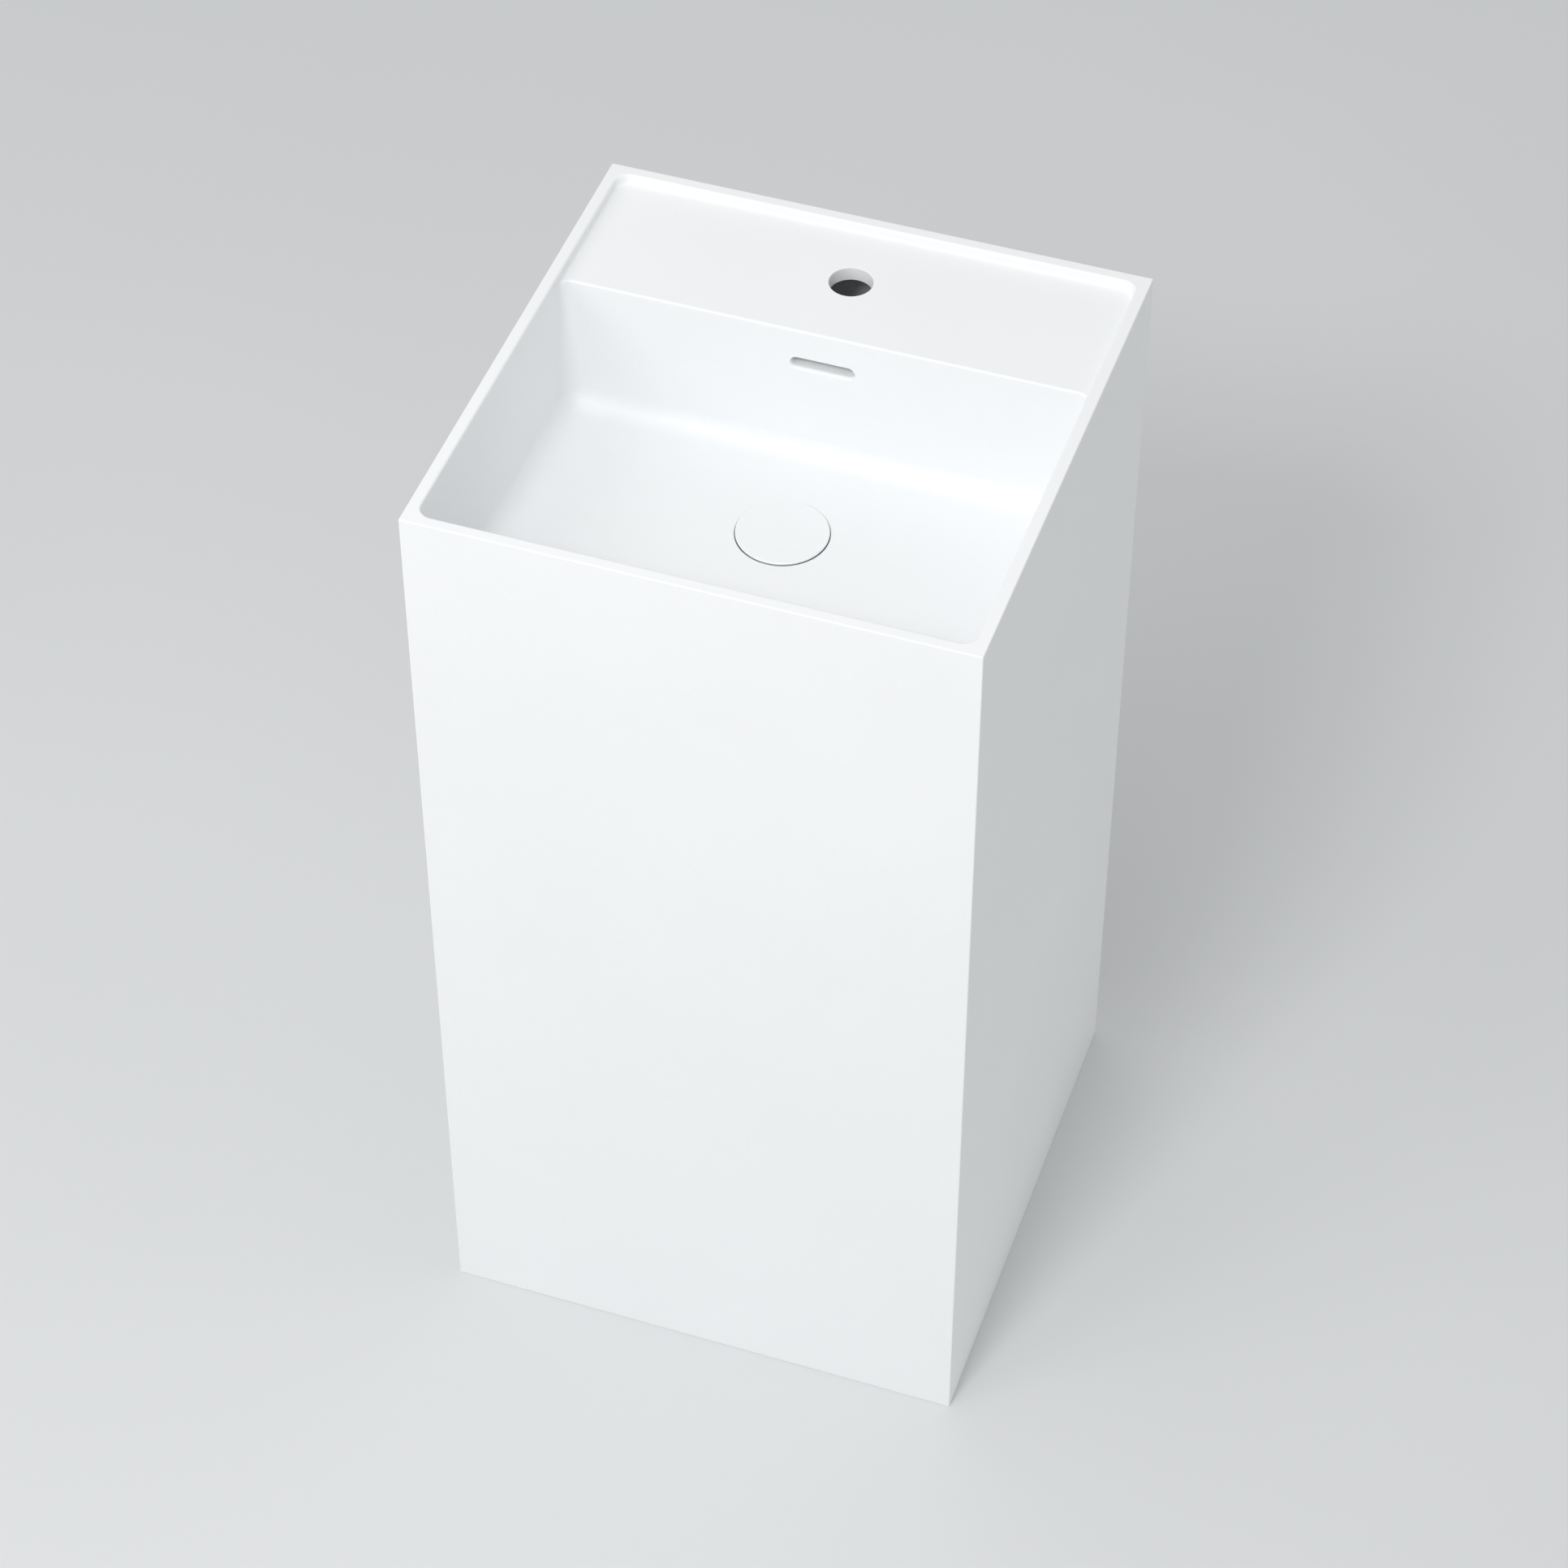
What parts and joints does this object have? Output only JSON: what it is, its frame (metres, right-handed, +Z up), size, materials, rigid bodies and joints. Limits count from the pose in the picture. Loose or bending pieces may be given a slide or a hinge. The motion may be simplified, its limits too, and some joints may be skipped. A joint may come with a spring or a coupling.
{
  "type": "pedestal sink",
  "caption": "Free-standing square column washbasin with a recessed tap deck, tap hole, overflow slot, push-open drain cover and bottle trap.",
  "frame": {"origin": "middle of the base, on the floor", "axes": "+Z up; +Y towards the wall behind, so the tap deck is at +Y and the bowl at -Y; +X to the right seen from the front"},
  "size_m": [0.45, 0.45, 0.89],
  "materials": {
    "cast_stone": "smooth matt white mineral casting",
    "chrome": "bright chrome plate",
    "brass": "turned brass",
    "spring_steel": "drawn stainless wire",
    "zinc_steel": "zinc-plated steel",
    "white_plastic": "moulded white plastic",
    "hose_plastic": "ribbed grey hose",
    "black_rubber": "matt black rubber",
    "pale_rubber": "pale silicone"
  },
  "bodies": {
    "basin": {"front_panel": "cast_stone", "rear_panel": "cast_stone", "left_panel": "cast_stone", "right_panel": "cast_stone", "bowl_base": "cast_stone", "drain_boss": "cast_stone", "bowl_wall": "cast_stone", "deck_panel": "cast_stone", "floor_coves": "cast_stone", "corner_coves": "cast_stone", "cartridge_spring": "spring_steel", "cartridge_body": "brass", "cartridge_cap": "chrome", "cartridge_nut": "brass", "waste_body": "chrome", "flange_seal": "pale_rubber", "upper_washer": "black_rubber", "overflow_collar": "white_plastic", "lower_washer": "black_rubber", "backnut": "brass", "overflow_gasket": "black_rubber", "overflow_housing": "white_plastic", "overflow_screws": "zinc_steel", "overflow_hose": "hose_plastic", "hose_clips": "zinc_steel", "inlet_washer": "black_rubber", "inlet_nut": "white_plastic", "inlet_tube": "white_plastic", "tube_nut": "white_plastic", "tube_seal": "black_rubber", "trap_head": "white_plastic", "trap_cup": "white_plastic", "cup_seal": "black_rubber", "outlet_nut": "white_plastic", "outlet_seal": "black_rubber", "outlet_pipe": "white_plastic", "floor_brackets": "zinc_steel", "bracket_screws": "zinc_steel", "bracket_inserts": "brass"},
    "cover": {"drain_cover": "cast_stone", "cover_carrier": "brass", "cover_seal": "black_rubber", "push_stem": "brass"},
    "ratchet": {"ratchet_ring": "white_plastic"}
  },
  "joints": [
    {"name": "cover_lift", "type": "slide", "parent": "basin", "child": "cover", "axis": [0, 0, 1], "range_m": [0, 0.009], "deforming": ["cartridge_spring"]},
    {"name": "ratchet_turn", "type": "hinge", "parent": "cover", "child": "ratchet", "pos_m": [0, -0.01, 0.724], "axis": [0, 0, 1], "range_deg": [0, 45]}
  ],
  "couplings": [
    {"joint": "ratchet_turn", "follows": "cover_lift", "rad_per_m": 87.2}
  ]
}
